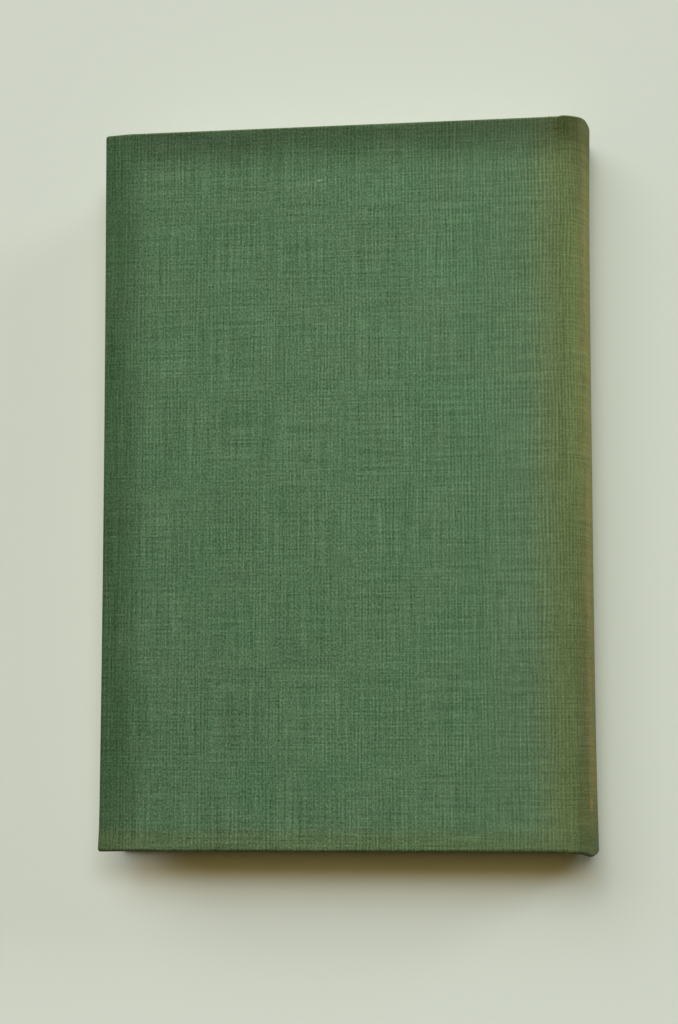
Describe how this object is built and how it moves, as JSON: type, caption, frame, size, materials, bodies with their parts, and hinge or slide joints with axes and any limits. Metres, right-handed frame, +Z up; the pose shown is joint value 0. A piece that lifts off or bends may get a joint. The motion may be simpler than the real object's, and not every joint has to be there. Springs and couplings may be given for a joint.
{
  "type": "cloth-bound hardback book",
  "caption": "Closed hardback book in plain green cloth with a sun-faded rounded spine, cream pages and hinged covers, lying on its front cover.",
  "frame": {"origin": "centre of the book's outline in plan, on the table under the front cover", "axes": "+X from the fore-edge to the spine, +Y from the tail to the head, +Z up from the front cover to the back cover"},
  "size_m": [0.15, 0.2232, 0.032],
  "materials": {
    "cover_cloth": "matt green book cloth, darker at the edges",
    "spine_cloth": "matt book cloth faded to olive tan",
    "pages": "cream book paper, edges toned",
    "endpaper": "off-white endpaper",
    "board": "grey-brown millboard",
    "card": "thin manila card",
    "mull": "open cotton gauze set in glue",
    "kraft": "brown kraft paper",
    "band": "plain cream woven band"
  },
  "bodies": {
    "pages": {"text_block": "pages", "spine_mull": "mull", "spine_lining": "kraft", "head_band": "band", "tail_band": "band", "front_flyleaf": "endpaper", "back_flyleaf": "endpaper", "spine_inlay": "card", "spine_cloth": "spine_cloth"},
    "front_cover": {"front_board": "board", "front_cloth": "cover_cloth", "front_mull_flap": "mull", "front_pastedown": "endpaper"},
    "back_cover": {"back_board": "board", "back_cloth": "cover_cloth", "back_mull_flap": "mull", "back_pastedown": "endpaper"}
  },
  "joints": [
    {"name": "back_cover_hinge", "type": "hinge", "parent": "pages", "child": "back_cover", "pos_m": [0.06705, 0, 0.03215], "axis": [0, 1, 0], "range_deg": [0, 180]},
    {"name": "front_cover_hinge", "type": "hinge", "parent": "pages", "child": "front_cover", "pos_m": [0.06705, 0, -0.00015], "axis": [0, -1, 0], "range_deg": [0, 180]}
  ]
}
